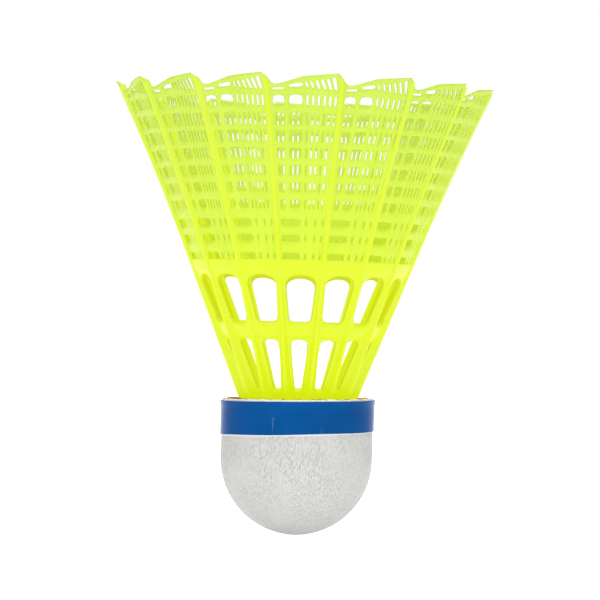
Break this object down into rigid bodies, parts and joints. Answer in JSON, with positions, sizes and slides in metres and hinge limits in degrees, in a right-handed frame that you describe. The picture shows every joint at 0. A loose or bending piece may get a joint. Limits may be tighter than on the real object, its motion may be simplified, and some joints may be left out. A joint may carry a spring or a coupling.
{
  "type": "badminton shuttlecock",
  "caption": "Synthetic badminton shuttlecock: conical moulded nylon skirt of ribs and pleated mesh vanes, glued by its spigot into a skin-covered round cork head with a taped rim.",
  "frame": {"origin": "lowest point of the rounded nose of the head, on the shuttlecock's axis", "axes": "+Z along the axis from the nose to the rim of the skirt; +X and +Y at right angles to it, with the middle of a skirt panel facing -Y"},
  "size_m": [0.0652, 0.0652, 0.0777],
  "materials": {
    "nylon": "satin",
    "cork": "matte",
    "skin": "matte",
    "tape": "gloss",
    "glue": "gloss"
  },
  "bodies": {
    "root": {"skirt": "nylon", "cork_upper": "cork", "cork_dome": "cork", "head_skin": "skin", "tape_band": "tape", "spigot_glue": "glue", "ply_glue": "glue"}
  },
  "joints": []
}
